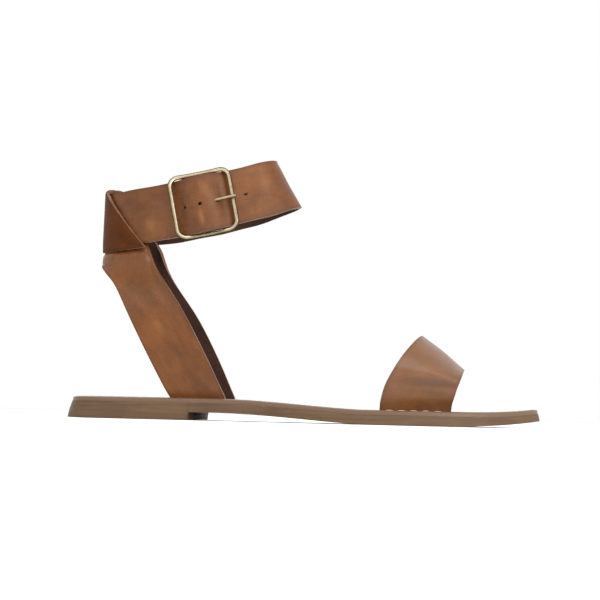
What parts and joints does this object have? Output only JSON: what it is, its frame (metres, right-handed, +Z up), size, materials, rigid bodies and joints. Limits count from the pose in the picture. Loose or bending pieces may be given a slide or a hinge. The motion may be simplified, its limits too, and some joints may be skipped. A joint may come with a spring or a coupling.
{
  "type": "ankle strap sandal",
  "caption": "Flat leather sandal for the right foot: wide strap over the ball, heel strap folded round a buckled ankle strap, stitched footbed on a moulded sole with a low heel.",
  "frame": {"origin": "on the ground plane, under the middle of the sole's bounding box", "axes": "+X towards the toe, +Y towards the inner side of the foot, +Z up from the ground"},
  "size_m": [0.255, 0.0892, 0.1427],
  "materials": {
    "outsole": "matt tan-brown moulded rubber",
    "footbed": "brown smooth leather with pale stitching",
    "strap_leather": "cognac smooth leather, half gloss, darker cut edges",
    "buckle": "antique brass, worn bright on its edges"
  },
  "bodies": {
    "root": {"outsole": "outsole", "footbed": "footbed", "toe_strap": "strap_leather", "heel_strap": "strap_leather", "ankle_strap": "strap_leather", "buckle_frame": "buckle", "buckle_prong": "buckle"}
  },
  "joints": []
}
